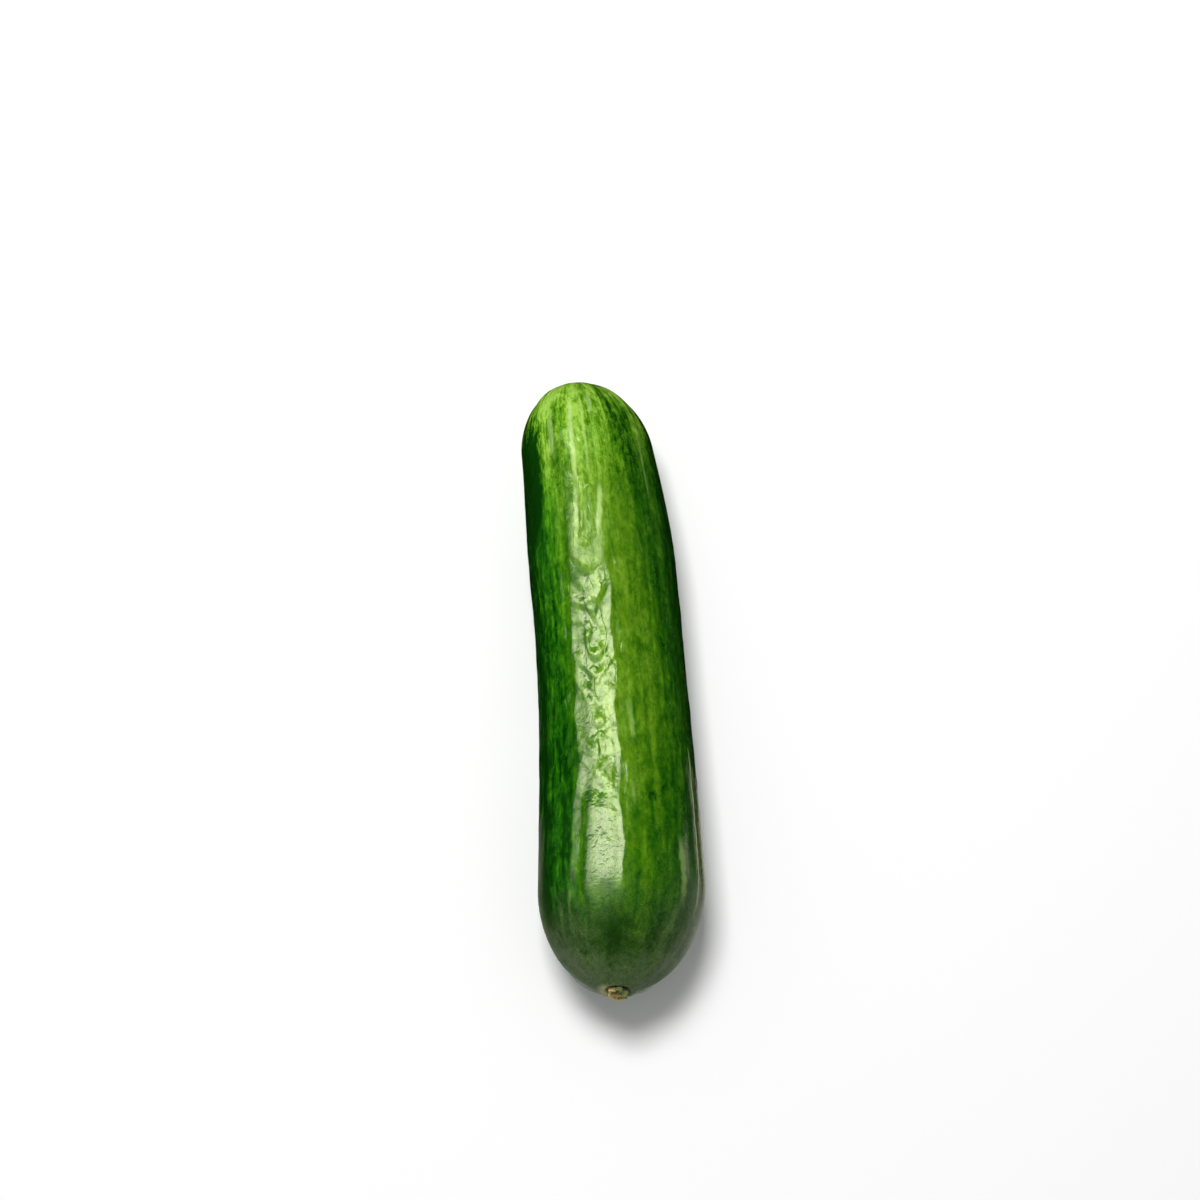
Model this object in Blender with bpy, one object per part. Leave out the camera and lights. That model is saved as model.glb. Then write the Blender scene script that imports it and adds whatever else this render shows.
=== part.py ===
"""A small smooth-skinned cucumber lying on its side, in metres, +Z up.

The fruit lies along Y with its stem end at -Y and its blossom end at +Y, and its middle bows a little to +X.
Its stem tip looks a little up and towards -X.
The origin is under the middle of its bounding box, on the surface that it lies on. The fruit is one solid.
The dry stub of its stalk is a second one, set in the socket at the stem end.
"""

import math

import bmesh
import bpy
from mathutils import Matrix, Vector

MM = 0.001
TURN = 2.0 * math.pi

# The fruit's driving dimensions
SKIN_LENGTH = 154.5 * MM  # from the rim round the stub to the blossom tip
STEM_RADIUS = 20.1 * MM  # of the fat part, near the stem end
MIDDLE_RADIUS = 18.0 * MM
BLOSSOM_RADIUS = 16.1 * MM  # of the slim part, near the blossom end
FIRST_TAPER = (8.0 * MM, 87.0 * MM)  # it slims between these distances from the stem tip
SECOND_TAPER = (106.0 * MM, 146.5 * MM)
STEM_DOME = 26.2 * MM  # length over which each end rounds off
BLOSSOM_DOME = 17.6 * MM
DOME_POWER = 1.9
BEND = 3.2 * MM  # how far the middle stands out sideways from the line between the tips
BEND_SKEW = 0.26  # how much stronger the bend is towards the blossom end
BELLY_RISE = 1.4 * MM  # how far the axis lifts towards each tip, so that only the middle touches
FLAT_DEPTH = 0.3 * MM  # how far the weight flattens the underside
NOSE_LIFT = math.radians(16.0)  # how far the stem tip looks up
NOSE_SWAY = math.radians(6.0)  # how far it looks towards -X

# Three seed chambers inside make the cross-section faintly three-lobed
LOBES = 3
LOBE_HEIGHT = 0.22 * MM
LOBE_PHASE = 0.5

# Ten low ribs follow the veins from tip to tip, and deepen into furrows at the ends
RIBS = 10
RIB_HEIGHT = 0.14 * MM
FURROW_HEIGHT = 0.26 * MM
FURROW_PEAK = 3.6 * MM  # distance from the tip where the furrows are deepest
FURROW_REACH = 12.0 * MM

# Lengthways wrinkles cover the middle of the fruit and leave both ends smooth
WRINKLE_RISE = (24.0 * MM, 56.0 * MM)
WRINKLE_FALL = (128.0 * MM, 150.0 * MM)
# The two sets of wrinkles cross at a low angle: (count round the fruit, height, drift in turns, phase)
WRINKLE_SETS = ((19, 0.12 * MM, 0.045, 0.0), (28, 0.14 * MM, -0.03, 2.0))
# How the wrinkles wander: (reach in radians, waves over the length, turns round the fruit, phase)
WANDERS = ((0.075, 1.3, 1, 0.6), (0.040, 3.1, 2, 2.1), (0.026, 6.2, 3, 4.4))
# How they swell and fade on their way: (share, waves over the length, turns round the fruit, phase)
SWELLS = ((0.38, 5.3, 4, 1.3), (0.34, 8.6, 7, 3.7), (0.30, 12.1, 3, 0.2))
# The fruit's weight presses them flat underneath: where the press starts and is full, as -sin(angle)
PRESS = (0.80, 0.97)
PRESS_REACH = (0.50, 0.72)  # and how far it reaches, as a share of the half length

# The socket at the stem tip, as (radius, depth behind the rim), from its floor's middle outwards
SOCKET = (
    (0.0, 1.5 * MM),
    (1.9 * MM, 1.5 * MM),
    (3.0 * MM, 1.35 * MM),
    (3.2 * MM, 0.2 * MM),
    (3.55 * MM, 0.0),
)
# The corky scar at the blossom tip: a raised ring round a pit, as (radius, height over the tip)
SCAR_RISE = 0.18 * MM
SCAR = (
    (0.0, -0.7 * MM),
    (0.7 * MM, -0.45 * MM),
    (1.3 * MM, 0.16 * MM),
    (1.9 * MM, SCAR_RISE),
    (2.4 * MM, -0.02 * MM),
)

# The stub of the stalk: a torn five-ridged stump
STUB_RADIUS = 2.45 * MM
STUB_GAP = 0.3 * MM  # clearance to the socket's floor
STUB_PROUD = 1.3 * MM  # how far it stands out of the rim at its highest
STUB_RIDGES = 5
STUB_RIDGE_SHARE = 0.11
STUB_PIT = 0.55 * MM  # depth of its hollow middle
TEAR = 0.7 * MM  # unevenness of its torn edge

# How finely the solids are faceted. Rings near the tips have fewer points: (points, reach from the tip)
AROUND = 120
END_AROUND = ((30, 3.0 * MM), (60, 12.0 * MM))
RING_STEP = 3.3 * MM  # between two rings in the middle
TIP_RING = 0.5 * MM  # from each tip to the first ring of its dome
RING_GROWTH = 1.22  # from one ring's step to the next one's, away from each tip
STUB_AROUND = 30


def smoothstep(low, high, value):
    t = min(max((value - low) / (high - low), 0.0), 1.0)
    return t * t * (3.0 - 2.0 * t)


def dome(distance, length):
    """Share of the full radius at this distance from a tip. It joins the body with no crease."""
    return math.sqrt(1.0 - max(1.0 - distance / length, 0.0) ** DOME_POWER)


def both_domes(distance):
    return dome(distance, STEM_DOME) * dome(SKIN_LENGTH - distance, BLOSSOM_DOME)


def body_radius(distance):
    """Radius of the fruit without its rounded ends, at a distance from the stem tip."""
    first = (MIDDLE_RADIUS - STEM_RADIUS) * smoothstep(*FIRST_TAPER, distance)
    second = (BLOSSOM_RADIUS - MIDDLE_RADIUS) * smoothstep(*SECOND_TAPER, distance)
    return STEM_RADIUS + first + second


def skin_radius(distance):
    return body_radius(distance) * both_domes(distance)


def half_share(distance):
    """Place along the fruit: -1 at the stem tip, 0 in the middle and 1 at the blossom tip."""
    return 2.0 * distance / SKIN_LENGTH - 1.0


def bend_at(distance):
    """How far the axis stands out towards +X from the line between the tips."""
    u = half_share(distance)
    return BEND * (1.0 - u * u) * (1.0 + BEND_SKEW * u)


def furrow_share(distance):
    """How strongly the end furrows show: from 0 at a tip to 1 at their peak, and away again."""
    tip = min(distance, SKIN_LENGTH - distance)
    return smoothstep(0.0, FURROW_PEAK, tip) * (1.0 - smoothstep(FURROW_PEAK, FURROW_REACH, tip))


def sine_sum(waves, angle, along):
    """Sum of waves over the skin, each as (height, waves over the length, turns round the fruit, phase)."""
    return sum(
        height * math.sin(TURN * count * along + turns * angle + phase)
        for height, count, turns, phase in waves
    )


def pressed(angle, distance):
    """1 where the fruit's weight presses its wrinkles flat, and 0 on the rest of it."""
    return smoothstep(*PRESS, -math.sin(angle)) * (1.0 - smoothstep(*PRESS_REACH, abs(half_share(distance))))


def relief(angle, distance):
    """Height of the skin over the plain turned shape, from the lobes, the ribs and the wrinkles."""
    along = distance / SKIN_LENGTH
    lobes = LOBE_HEIGHT * both_domes(distance) * math.cos(LOBES * angle + LOBE_PHASE)
    wander = sine_sum(WANDERS, angle, along)
    rib_height = RIB_HEIGHT * both_domes(distance) + FURROW_HEIGHT * furrow_share(distance)
    ribs = rib_height * math.cos(RIBS * (angle + 0.3 * wander))
    wrinkled = smoothstep(*WRINKLE_RISE, distance) * (1.0 - smoothstep(*WRINKLE_FALL, distance))
    swell = 0.6 + sine_sum(SWELLS, angle, along)
    wrinkles = 0.0
    for count, height, drift, phase in WRINKLE_SETS:
        path = angle + wander + drift * TURN * along
        wrinkles += height * wrinkled * swell * math.cos(count * path + phase)
        swell = 1.2 - swell
    return (lobes + ribs + wrinkles) * (1.0 - pressed(angle, distance))


def side_shift():
    """Puts X = 0 midway between the fruit's two flanks."""
    stations = [SKIN_LENGTH * i / 200 for i in range(1, 200)]
    high = max(bend_at(d) + skin_radius(d) + relief(0.0, d) for d in stations)
    low = min(bend_at(d) - skin_radius(d) - relief(math.pi, d) for d in stations)
    return (high + low) / 2.0


SIDE_SHIFT = side_shift()


def nose_share(distance):
    """How far into the stem dome: 0 at its base and 1 at its tip."""
    return max(1.0 - distance / STEM_DOME, 0.0)


def axis_point(distance):
    """The middle of the ring at this distance. Over the stem dome the axis curls up and towards -X."""
    curl = STEM_DOME * nose_share(distance) ** 2 / 2.0
    x = bend_at(distance) - SIDE_SHIFT - NOSE_SWAY * curl
    y = distance - (SKIN_LENGTH + SCAR_RISE - STUB_PROUD) / 2.0
    z = body_radius(distance) - FLAT_DEPTH + BELLY_RISE * half_share(distance) ** 2 + NOSE_LIFT * curl
    return Vector((x, y, z))


def ring_turn(distance):
    """The rings of the stem dome turn with the axis."""
    share = nose_share(distance)
    return Matrix.Rotation(-NOSE_SWAY * share, 3, "Z") @ Matrix.Rotation(-NOSE_LIFT * share, 3, "X")


def ring(bm, distance, radii, heights=None):
    """Vertices round the axis, kept above the surface that the fruit lies on.

    Each has its own radius, and may have its own height out of the stem tip.
    """
    centre = axis_point(distance)
    turned = ring_turn(distance)
    made = []
    for i, radius in enumerate(radii):
        angle = TURN * i / len(radii)
        out = heights[i] if heights else 0.0
        point = centre + turned @ Vector((radius * math.cos(angle), -out, radius * math.sin(angle)))
        made.append(bm.verts.new((point.x, point.y, max(point.z, 0.0))))
    return made


def stitch(bm, first, second):
    """Faces between two neighbouring rings. One may be a single point, or have a multiple of the other's."""
    few, many = sorted((first, second), key=len)
    times = len(many) // len(few)
    for i, corner in enumerate(few):
        if len(few) > 1:
            turn = (i + 1) % len(few)
            bm.faces.new((corner, many[i * times], few[turn]))
            bm.faces.new((few[turn], many[i * times], many[(i * times + 1) % len(many)]))
        for j in range(1 if len(few) > 1 else 0, times):
            k = i * times + j
            hub = few[(i + 1) % len(few)]
            bm.faces.new((hub, many[k % len(many)], many[(k + 1) % len(many)]))


def finish_mesh(name, bm, material):
    bmesh.ops.recalc_face_normals(bm, faces=bm.faces)
    mesh = bpy.data.meshes.new(name)
    bm.to_mesh(mesh)
    bm.free()
    mesh.shade_smooth()
    mesh.set_sharp_from_angle(angle=math.radians(50.0))
    mesh.materials.append(material)
    obj = bpy.data.objects.new(name, mesh)
    bpy.context.collection.objects.link(obj)
    return obj


def ring_distances():
    """Distances of the skin's rings from the stem tip. They lie closer together towards both tips."""
    end_rings = [TIP_RING]
    step = TIP_RING
    while step * RING_GROWTH < RING_STEP:
        step *= RING_GROWTH
        end_rings.append(end_rings[-1] + step)
    span = SKIN_LENGTH - 2.0 * end_rings[-1]
    count = round(span / RING_STEP)
    middle = [end_rings[-1] + span * i / count for i in range(1, count)]
    return end_rings + middle + [SKIN_LENGTH - d for d in reversed(end_rings)]


def points_round(distance):
    tip = min(distance, SKIN_LENGTH - distance)
    return next((points for points, reach in END_AROUND if tip < reach), AROUND)


def build_fruit(material):
    bm = bmesh.new()
    fewest = END_AROUND[0][0]
    rings = [ring(bm, depth, [radius] * fewest if radius else [0.0]) for radius, depth in SOCKET]
    for distance in ring_distances():
        count = points_round(distance)
        radii = [skin_radius(distance) + relief(TURN * i / count, distance) for i in range(count)]
        rings.append(ring(bm, distance, radii))
    for radius, height in reversed(SCAR):
        rings.append(ring(bm, SKIN_LENGTH + height, [radius] * fewest if radius else [0.0]))
    for first, second in zip(rings, rings[1:]):
        stitch(bm, first, second)
    return finish_mesh("fruit", bm, material)


def torn_height(angle):
    """How far the stub's torn edge stands out of the rim."""
    return STUB_PROUD - TEAR * (0.5 - 0.3 * math.sin(2.0 * angle + 0.8) - 0.2 * math.sin(7.0 * angle))


def build_stub(material):
    """The stub, from its seat in the socket to its torn edge and down into its hollow middle."""
    bm = bmesh.new()
    seat = SOCKET[0][1] - STUB_GAP
    angles = [TURN * i / STUB_AROUND for i in range(STUB_AROUND)]
    ridged = [STUB_RADIUS * (1.0 + STUB_RIDGE_SHARE * math.cos(STUB_RIDGES * a)) for a in angles]
    # Each level is (share of the ridged radius, distance out of the rim for each angle)
    levels = (
        (0.80, lambda a: -seat),
        (0.92, lambda a: -0.6 * seat),
        (1.00, lambda a: 0.35 * torn_height(a)),
        (0.88, torn_height),
        (0.62, lambda a: torn_height(a) - 0.25 * STUB_PIT),
        (0.38, lambda a: STUB_PROUD - TEAR - STUB_PIT),
    )
    rings = [ring(bm, 0.0, [0.0], [-seat])]
    for share, height in levels:
        rings.append(ring(bm, 0.0, [radius * share for radius in ridged], [height(a) for a in angles]))
    rings.append(ring(bm, 0.0, [0.0], [STUB_PROUD - TEAR - STUB_PIT]))
    for first, second in zip(rings, rings[1:]):
        stitch(bm, first, second)
    return finish_mesh("stem_stub", bm, material)


def make_material(name, colour, roughness):
    material = bpy.data.materials.new(name)
    material.use_nodes = True
    shader = material.node_tree.nodes["Principled BSDF"]
    shader.inputs["Base Color"].default_value = (*colour, 1.0)
    shader.inputs["Roughness"].default_value = roughness
    shader.inputs["Metallic"].default_value = 0.0
    return material


def main():
    for obj in list(bpy.data.objects):
        bpy.data.objects.remove(obj)
    green_skin = make_material("green_skin", (0.045, 0.155, 0.012), 0.32)
    dry_stalk = make_material("dry_stalk", (0.36, 0.30, 0.08), 0.85)
    lying = bpy.data.objects.new("lying_fruit", None)
    bpy.context.collection.objects.link(lying)
    for part in (build_fruit(green_skin), build_stub(dry_stalk)):
        part.parent = lying


main()
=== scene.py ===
"""The looks of a small smooth-skinned cucumber that lies on its side.

The fruit's sizes are in millimetres, measured along the fruit from its stem tip and round it from +X over the
top. Each mesh is scaled to metres when it is put in its place.

A span says where something is: from 0 to 1 over its first two numbers, which may also count down. A span of
three numbers falls back to 0 from its middle one to its last, and a span of four does so over its last two.
"""

import functools
import math
import operator
from collections import namedtuple

import bpy
from mathutils import Matrix, Vector


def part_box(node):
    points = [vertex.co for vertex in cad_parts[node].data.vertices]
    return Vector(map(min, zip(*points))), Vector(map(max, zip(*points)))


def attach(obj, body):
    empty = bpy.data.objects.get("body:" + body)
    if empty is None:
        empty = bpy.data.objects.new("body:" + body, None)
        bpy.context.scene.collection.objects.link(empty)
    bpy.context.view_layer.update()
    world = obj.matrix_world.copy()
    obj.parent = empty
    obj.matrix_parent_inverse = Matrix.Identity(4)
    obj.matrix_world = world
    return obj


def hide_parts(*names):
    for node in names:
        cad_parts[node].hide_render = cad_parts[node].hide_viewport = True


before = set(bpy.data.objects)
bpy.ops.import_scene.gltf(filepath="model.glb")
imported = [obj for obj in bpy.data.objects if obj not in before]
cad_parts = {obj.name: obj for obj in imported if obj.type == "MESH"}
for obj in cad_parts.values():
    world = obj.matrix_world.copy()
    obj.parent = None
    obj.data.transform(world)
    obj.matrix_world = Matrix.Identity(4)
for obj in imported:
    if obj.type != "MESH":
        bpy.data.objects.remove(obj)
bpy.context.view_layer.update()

MM = 0.001
TURN = 2.0 * math.pi

# The fruit's driving dimensions, the same as the solids'
SKIN_LENGTH = 154.5
STEM_RADIUS = 20.1
MIDDLE_RADIUS = 18.0
BLOSSOM_RADIUS = 16.1
FIRST_TAPER = (8.0, 87.0)
SECOND_TAPER = (106.0, 146.5)
STEM_DOME = 26.2
BLOSSOM_DOME = 17.6
DOME_POWER = 1.9
BEND = 3.2
BEND_SKEW = 0.26
BELLY_RISE = 1.4
FLAT_DEPTH = 0.3
NOSE_LIFT = math.radians(16.0)
NOSE_SWAY = math.radians(6.0)
LOBES = 3
LOBE_HEIGHT = 0.22
LOBE_PHASE = 0.5
RIBS = 10
RIB_HEIGHT = 0.14
RIB_WANDER = 0.3
FURROW_HEIGHT = 0.26
FURROW_REACH = (0.0, 3.6, 12.0)  # distances from either tip
WRINKLE_REACH = (24.0, 56.0, 128.0, 150.0)
# (count round the fruit, height, drift in turns, phase)
WRINKLE_SETS = ((19, 0.12, 0.045, 0.0), (28, 0.14, -0.03, 2.0))
# (reach or share, waves over the length, turns round the fruit, phase)
WANDERS = ((0.075, 1.3, 1, 0.6), (0.040, 3.1, 2, 2.1), (0.026, 6.2, 3, 4.4))
SWELLS = ((0.38, 5.3, 4, 1.3), (0.34, 8.6, 7, 3.7), (0.30, 12.1, 3, 0.2))
SWELL_MEAN = 0.6
PRESS = (0.80, 0.97)
PRESS_REACH = (0.50, 0.72)

# The skin's own finer relief. The solid's wrinkles are a little larger than life, so only a share is taken.
RIB_SHARE = 0.7
WRINKLE_SHARE = (100.0, 122.0, 0.22, 0.3)  # two distances, and the share at each
FOLD_HEIGHT = 0.54
FOLD_REACH = (24.0, 58.0, 98.0, 122.0)
LOW_FOLDS = (50.0, 62.0, 74.0)
LOW_FOLD_CUT = 0.4
TOP_FOLDS = (-0.60, -0.26, 0.14)  # where across the fruit the folds have their full height
CALM_SHARE = 0.35  # of the folds' height on the flanks
FOLD_DRIFT = 5.0
PILLOW_GRAIN = (1 / 4.0, 1 / 7.5, 1 / 4.0)
PILLOW_SOFTNESS = 0.25
PILLOW_MEAN = 0.45
PILLOW_WEIGHT = 0.75
BROAD_WEIGHT = 1.2
MELTED_WEIGHT = 0.95
DRAPE_STEP = 8.7
DRAPE_SLANT = 1.8
DRAPE_TURN = 102.1  # degrees round the fruit of one line from which the drapes hang
DRAPE_ROUNDING = 0.12
DRAPE_SHIFT = 2.2
DRAPE_LEAN = 0.4
DRAPE_FADE = 0.10
DRAPE_HEIGHT = (60.0, 74.0, 0.14, 0.21)  # two distances, and the height at each
SOCKET_DEPTH = 0.8
SOCKET_WALL = (3.2, 2.6)  # the radii between which the socket's wall sinks
COLLAR_HEIGHT = 0.22
COLLAR_RING = (3.2, 3.8, 5.4)
COLLAR_CRUMBS = (-0.4, 2.4)  # the least of the noise on the height, and its gain
SCAR_PIT = 0.75
SCAR_PIT_WALL = (1.2, 0.25)
SCAR_RISE = 0.32
SCAR_RING = (0.9, 1.7, 2.7)
SCAR_CRUMBS = (0.4, 1.2)

# Old spine marks, each as (distance, degrees round the fruit, radius, rise, tone)
MARKS = (
    (62.2, 101.2, 1.1, 0.14, 0.35),
    (48.6, 99.2, 0.55, 0.05, 0.2),
    (39.7, 93.8, 0.60, 0.06, 0.2),
    (43.3, 65.5, 0.95, -0.06, -0.3),
    (98.4, 103.5, 0.55, -0.08, -0.35),
)
# Their parts, as spans in the mark's radii
MARK_RING = (0.35, 0.8, 1.25)
MARK_DOME = (1.5, 0.2)
MARK_EYE = (0.5, 0.1)
MARK_EYE_TONE = -0.3
MARK_RING_SHARE = 0.5  # of the rise
MARK_UNEVEN = (0.55, 0.9)  # the least of the noise on a mark's radii, and its gain
# The fainter ones all over: their spacing, how many there are, their smallest and added radius, and the like
FAINT_SPACING = 15.0
FAINT_COUNT = (0.6, 0.7)
FAINT_RADIUS = (0.3, 0.45)
FAINT_RISE = 0.025
FAINT_TONE = 0.12
FAINT_EYE = (0.6, 0.2)
FAINT_EYE_TONE = -0.15

# Lengthways grooves, and crests where the depth is negative:
# (start, bend, end, degrees up to the bend, degrees at the end, half the width, depth)
GROOVES = (
    (12.0, 32.0, 57.0, 120.5, 109.0, 2.5, 0.28),
    (47.0, 52.0, 65.0, 103.0, 101.5, 0.7, 0.16),
    (102.0, 108.0, 132.0, 103.8, 103.0, 0.9, 0.18),
    (52.0, 70.0, 108.0, 119.5, 117.0, 1.5, -0.12),
    (94.0, 106.0, 146.0, 113.0, 108.0, 3.2, -0.28),
    (14.0, 50.0, 108.0, 88.5, 87.0, 1.3, -0.10),
)
GROOVE_REACH = 9.0  # over which each groove sets in and ends
GROOVE_WAVER = ((21.0, 0.022, 1.0), (7.3, 0.007, 2.2))  # each as (wave length, radians, phase)
GROOVE_TONE = 0.8

# Pale streaks along the skin, partly its own pale stripes and partly painted highlights: those at the blossom
# end also paint the gloss broken into streaks, and two thin lines on the right are painted reflections.
# (start, end, degrees at the start, degrees at the end, half the width, strength)
PALE_STREAKS = (
    # the next six also paint the gloss broken into streaks: painted highlights
    (104.0, 124.0, 109.5, 104.5, 0.75, 0.75),
    (122.0, 147.0, 104.5, 101.5, 0.80, 1.0),
    (108.0, 123.0, 90.5, 86.5, 0.75, 1.0),
    (130.0, 145.0, 123.0, 121.0, 0.85, 0.55),
    (139.0, 150.0, 84.0, 82.0, 0.80, 0.60),
    (124.0, 149.0, 93.0, 91.0, 0.50, 0.35),
    # painted reflection: a thin pale line down the right flank
    (14.0, 58.0, 22.5, 22.0, 0.45, 0.65),
    (16.0, 35.0, 41.0, 43.5, 0.95, 0.40),
    (56.0, 68.0, 77.5, 79.0, 0.80, 0.30),
    (40.0, 48.0, 79.0, 80.0, 0.50, 0.30),
    # painted reflection: a thin pale line along the right shoulder
    (118.0, 151.0, 41.0, 38.0, 0.40, 0.22),
    (3.0, 18.0, 50.0, 45.0, 1.2, 0.30),
    (3.0, 15.0, 126.0, 117.0, 0.60, 0.24),
    (5.0, 20.0, 147.0, 137.0, 0.80, 0.22),
    (2.0, 11.0, 108.0, 105.0, 0.55, 0.18),
    (8.0, 24.0, 133.0, 128.0, 0.50, 0.20),
    (2.5, 12.0, 64.0, 70.0, 0.60, 0.14),
)
STREAK_HEIGHT = 0.05
STREAK_REACH = 4.0  # over which each streak sets in and ends
STREAK_EDGE = (1.1, 0.35)  # in half widths
STREAK_RAGGED = 1.8

# The stub of the stalk: a torn five-ridged stump in the socket
STUB_RADIUS = 2.45
STUB_SEAT = 1.2
STUB_PROUD = 1.3
STUB_RIDGES = 5
STUB_RIDGE_SHARE = 0.13
STUB_FOOT = (0.0, 0.6, 0.80, 1.0)  # two shares of the wall, and the share of the radius at each
STUB_WAIST = (0.35, 1.0)
STUB_WAIST_SHARE = 0.14
STUB_FIBRE_SHARE = 0.16
STUB_LUMP_SHARE = 0.45
STUB_PIT = 0.22
STUB_PIT_WALL = (0.12, 0.62)
STUB_PIT_LUMPS = 0.35
PORE_GRAIN = (3.2, 3.2, 0.0)
PORE_WALL = (0.5, 0.1)
PORE_DEPTH = 0.2
TEAR = 1.2
TEAR_MEAN = 0.46
# (share of the tear, 0, turns round the stub, phase)
TEAR_WAVES = ((0.46, 0.0, 1, 0.6 - TURN / 4.0), (-0.12, 0.0, 3, 1.0), (-0.10, 0.0, 7, 0.0))
FIBRE_HEIGHT = 0.55
FIBRE_MEAN = 0.55
FIBRE_REACH = (0.6, 0.1)

# How finely the skin and the stub are divided
POINTS_AROUND = 272
TOP_CROWDING = 0.35  # the points stand closer on the upper side
ROWS = 350
STEM_ROWS = 0.26  # share of the rows on the stem dome
BLOSSOM_ROWS = 0.165
TIP_CROWDING = 1.25
STUB_POINTS = 120
STUB_ROWS = 60
STUB_FOOT_ROW = 0.06  # share of the rows under the stub's wall
STUB_RIM_ROW = 0.58  # share of the rows up to the torn rim
SEAM_GAP = 0.0005

# Each noise's grain: grains per mm across the veins and along them, then detail, roughness and distortion
# where these aren't 2, 0.5 and 0
GRAINS = {
    "broad folds": (1 / 7.0, 1 / 9.0),
    "melted folds": (1 / 4.2, 1 / 6.4, 1.5, 0.5, 0.7),
    "drape shift": (1 / 8.0, 1 / 11.0, 1.0),
    "mark edges": (1.1, 1.1, 1.0),
    "streak edges": (1.2, 0.45, 2.0, 0.6),
    "tip cork": (1.1, 1.1),
    "cork": (2.4, 2.4, 3.0, 0.65),
    "specks": (4.6, 3.4, 1.0),
    "rows of specks": (0.5, 0.09, 1.0),
    "patches": (0.26, 0.20, 3.0, 0.6),
    "rays": (0.8, 0.06, 2.0, 0.6),
    "clouds": (0.20, 0.15, 2.0, 0.6, 0.6),
    "dapples": (0.8, 0.55, 4.0, 0.65),
    "grit": (3.0, 2.4, 3.0, 0.65),
    "crinkles": (1 / 1.9, 1 / 3.2, 2.0, 0.5, 0.9),
    "leather": (1 / 2.3, 1 / 1.25, 1.5, 0.5, 0.8),
    "creases": (1 / 3.4, 1 / 11.0, 1.0, 0.5, 0.3),
    "creased places": (0.2, 0.2),
    "threads": (1.0, 1 / 7.0),
    "pores": (4.5, 3.5, 2.0, 0.6),
    "gloss": (0.7, 0.4, 3.0),
    "stub fibres": (7.0, 0.7, 3.0, 0.6),
    "stub lumps": (2.2, 0.6),
    "stub strands": (11.0, 1.6, 4.0, 0.65),
    "stub blotches": (2.5, 2.0),
}

# The skin's tone goes from 0, dark, to 1, light. It starts as an arch over the fruit's width, lighter on top
# and
# darker down both flanks: painted shade. Its pattern is layers of noise: (grain as above, weight all over,
# more of it on the left, more of it at the blossom end).
ARCH_TONE = 0.74
ARCH_SIDE = 0.05
ARCH_SHADE_FALL = (0.77, 0.07)  # and what the fall gains to the right
TONE_LAYERS = (
    ((0.22, 0.014), 0.75, 0.375, 0.3375),  # stripes
    ((0.75, 0.12, 2.0, 0.5, 0.5), 0.55, 0.275, 0.2475),  # streaks
    ((0.36, 0.22, 3.0, 0.6, 0.8), 0.75, 0.375, 0.3375),  # clouds
    ((0.90, 0.52, 3.0, 0.6, 0.8), 0.60, 0.30, 0.77),  # mottle
    ((1.05, 0.17, 1.0, 0.5, 0.4), 0.0, 0.9, 0.0),  # threads
    ((0.50, 0.030), 0.45, 0.0, 0.85),  # columns
    ((1.9, 0.16, 2.0, 0.6), 0.0, 0.0, 0.5),  # finer threads
    ((3.2, 2.4, 2.0, 0.6), 0.25, 0.0, 0.55),  # speckle
)
LEFT_FLANK = (-0.35, -0.75)
BLOSSOM_END = (110.0, 148.0)
BLOSSOM_TONE = (-0.02, -0.42)  # and what it gains to the right
BLOSSOM_SIDE = (-0.80, -0.62)
# The tone follows the fine relief, darker in the folds' valleys and lighter on their crests: painted shade.
# The grooves count the other way round, lighter where they sink.
RELIEF_SHADE = 0.6
# Areas are spans of the side, which is -1 at the left and 1 at the right, of up, which is -1 at the belly and
# 1 on top, and of the distance, whose edges may be ragged by so many mm. Here the change of tone is in front.
TONE_AREAS = (
    (-0.17, {"side": (0.0, 0.28, 0.50), "distance": (84.0, 116.0)}),
    (-0.08, {"side": (-0.05, 0.12, 0.34), "distance": (44.0, 64.0)}),
    (-0.08, {"side": (0.42, 0.62, 0.85)}),
    (0.62, {"side": (0.42, 0.80), "distance": (122.0, 142.0)}),
    (0.34, {"side": (0.30, 0.60), "distance": (143.0, 150.0)}),
    (0.46, {"side": (-0.15, -0.80), "distance": (138.0, 150.0)}),
    (0.13, {"side": (-0.35, -0.75), "distance": (12.0, 30.0, 62.0)}),
    (0.14, {"side": (0.30, 0.60), "distance": (8.0, 22.0, 44.0)}),
    # painted shadow: this dark strip runs down the left edge of the blossom end
    (-1.1, {"side": (-0.69, -0.80), "up": (-0.1, 0.2), "distance": (108.0, 125.0, 129.0, 143.0)}),
    (0.02, {"side": LEFT_FLANK}),
    (0.45, {"up": (-0.15, -0.90)}),
    (-0.28, {"distance": (66.0, 16.0)}),
    (0.12, {"distance": (138.0, 152.0)}),
)

# Colours, each as (tone, colour) where there are several
SKIN_COLOURS = (
    (0.0, (0.0020, 0.030, 0.0002)),
    (0.25, (0.0085, 0.070, 0.0005)),
    (0.5, (0.034, 0.122, 0.0011)),
    (0.75, (0.083, 0.200, 0.005)),
    (1.0, (0.155, 0.290, 0.022)),
)
PALE_COLOURS = (
    (0.0, (0.002, 0.045, 0.0002)),
    (0.2, (0.035, 0.14, 0.001)),
    (0.5, (0.10, 0.27, 0.005)),
    (0.75, (0.20, 0.42, 0.028)),
    (1.0, (0.33, 0.56, 0.075)),
)
PURE_TINT = (0.60, 1.08, 0.45)
STREAK_COLOUR = (0.44, 0.62, 0.20)
GLINT_COLOUR = (0.30, 0.46, 0.14)
BLOOM_COLOUR = (0.011, 0.043, 0.0028)
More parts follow.
